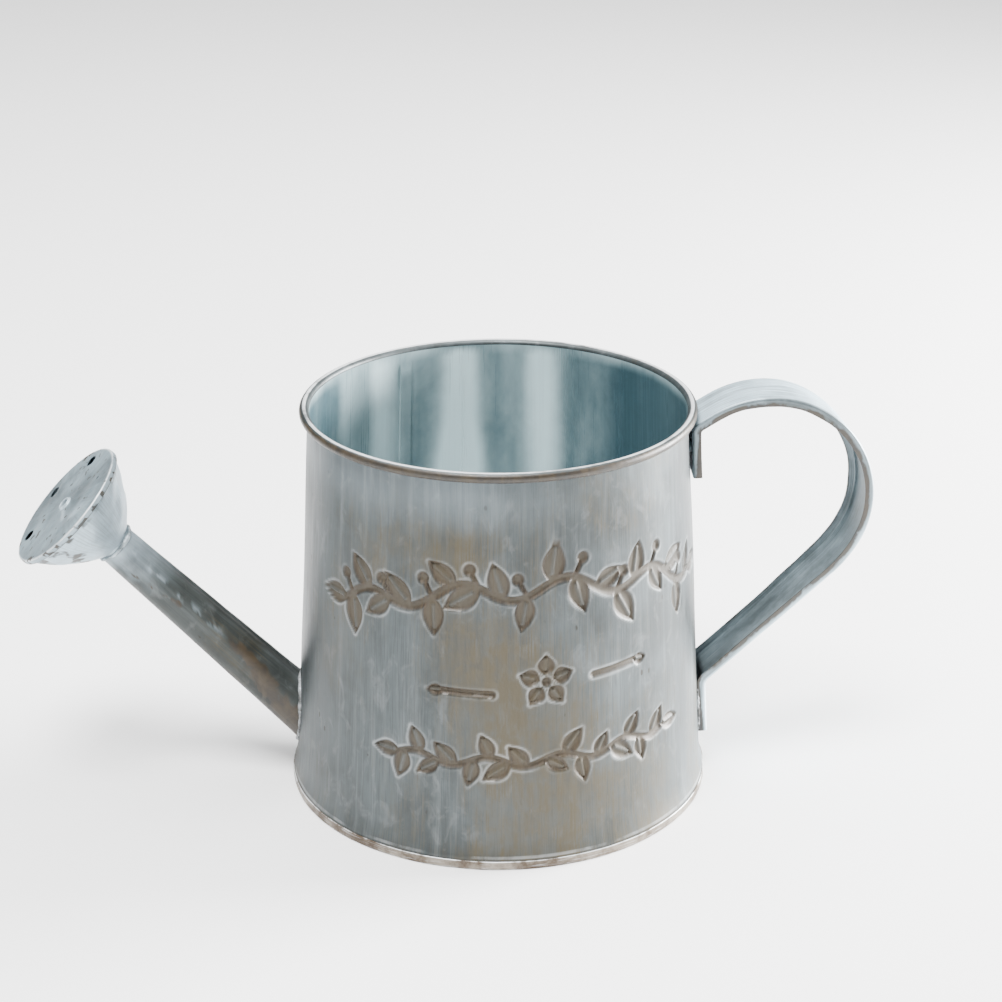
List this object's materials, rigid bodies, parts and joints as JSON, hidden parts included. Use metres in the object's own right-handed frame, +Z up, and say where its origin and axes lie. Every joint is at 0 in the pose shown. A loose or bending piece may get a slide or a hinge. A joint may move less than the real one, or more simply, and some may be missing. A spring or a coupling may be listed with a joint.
{
  "type": "watering can",
  "caption": "Small open-topped galvanised watering can with a tapered body, soldered spout, cupped rose and a strap handle.",
  "frame": {"origin": "centre of the foot ring, on the table", "axes": "+X towards the handle, -X towards the spout, -Y the ornamented front, +Z up"},
  "size_m": [0.2068, 0.104, 0.1003],
  "materials": {
    "zinc_sheet": "whitewashed galvanised sheet, satin, finely brushed, with brown patina",
    "rose_zinc": "whitewashed galvanised sheet, satin, edges worn bright",
    "steel_wire": "bare steel, satin",
    "foot_patina": "galvanised sheet with a brown patina, worn along the edge",
    "solder": "dull pale solder, lumpy"
  },
  "bodies": {
    "root": {"body_wall": "zinc_sheet", "rim_wire": "steel_wire", "base_pan": "foot_patina", "spout_tube": "zinc_sheet", "spout_solder": "solder", "rose_bell": "rose_zinc", "rose_face": "rose_zinc", "rose_solder": "solder", "handle_strap": "zinc_sheet", "upper_spot_welds": "steel_wire", "lower_tab_solder": "solder"}
  },
  "joints": []
}
